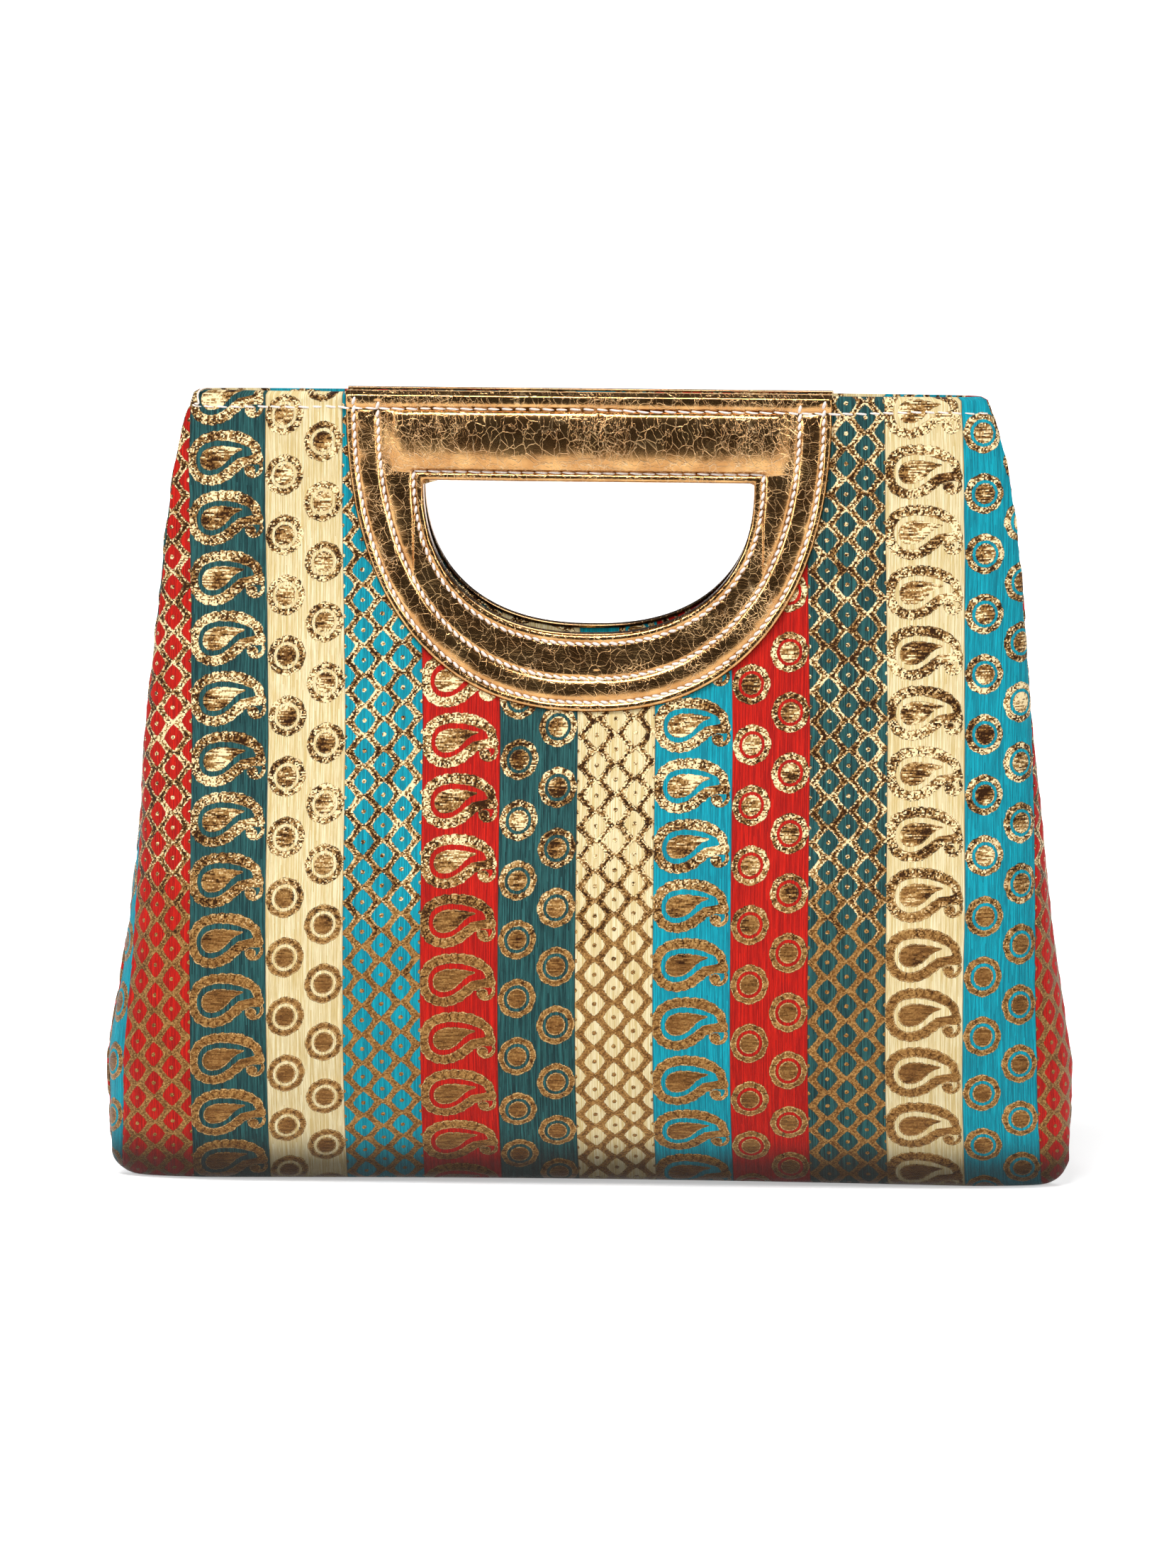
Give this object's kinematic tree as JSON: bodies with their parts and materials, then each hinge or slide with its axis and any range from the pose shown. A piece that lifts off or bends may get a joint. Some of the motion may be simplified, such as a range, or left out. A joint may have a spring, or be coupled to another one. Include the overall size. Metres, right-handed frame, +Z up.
{
  "type": "clutch bag",
  "caption": "Striped brocade clutch bag with a gold leather-edged hand opening cut through both faces, a soft rounded base and an open mouth with a magnetic snap",
  "frame": {"origin": "the middle of the base, on the surface that the bag stands on", "axes": "+X across the bag to the right as the front is looked at, +Y from the front to the back, +Z up"},
  "size_m": [0.3234, 0.062, 0.268],
  "materials": {
    "brocade": "striped silk brocade in red, turquoise, bottle green and cream, with metallic gold motifs",
    "gold_leather": "creased metallic gold foil leather",
    "lining": "plain satin lining",
    "board": "plain matt bag board",
    "wadding": "soft wadding",
    "snap_metal": "satin plated"
  },
  "bodies": {
    "root": {"front_panel": "brocade", "front_facing": "brocade", "front_lining": "lining", "front_stiffener": "board", "front_handle_patch": "gold_leather", "front_grip_padding": "wadding", "back_panel": "brocade", "back_facing": "brocade", "back_lining": "lining", "back_stiffener": "board", "back_handle_patch": "gold_leather", "back_grip_padding": "wadding", "base_board": "board", "snap_socket": "snap_metal", "snap_stud": "snap_metal"}
  },
  "joints": []
}
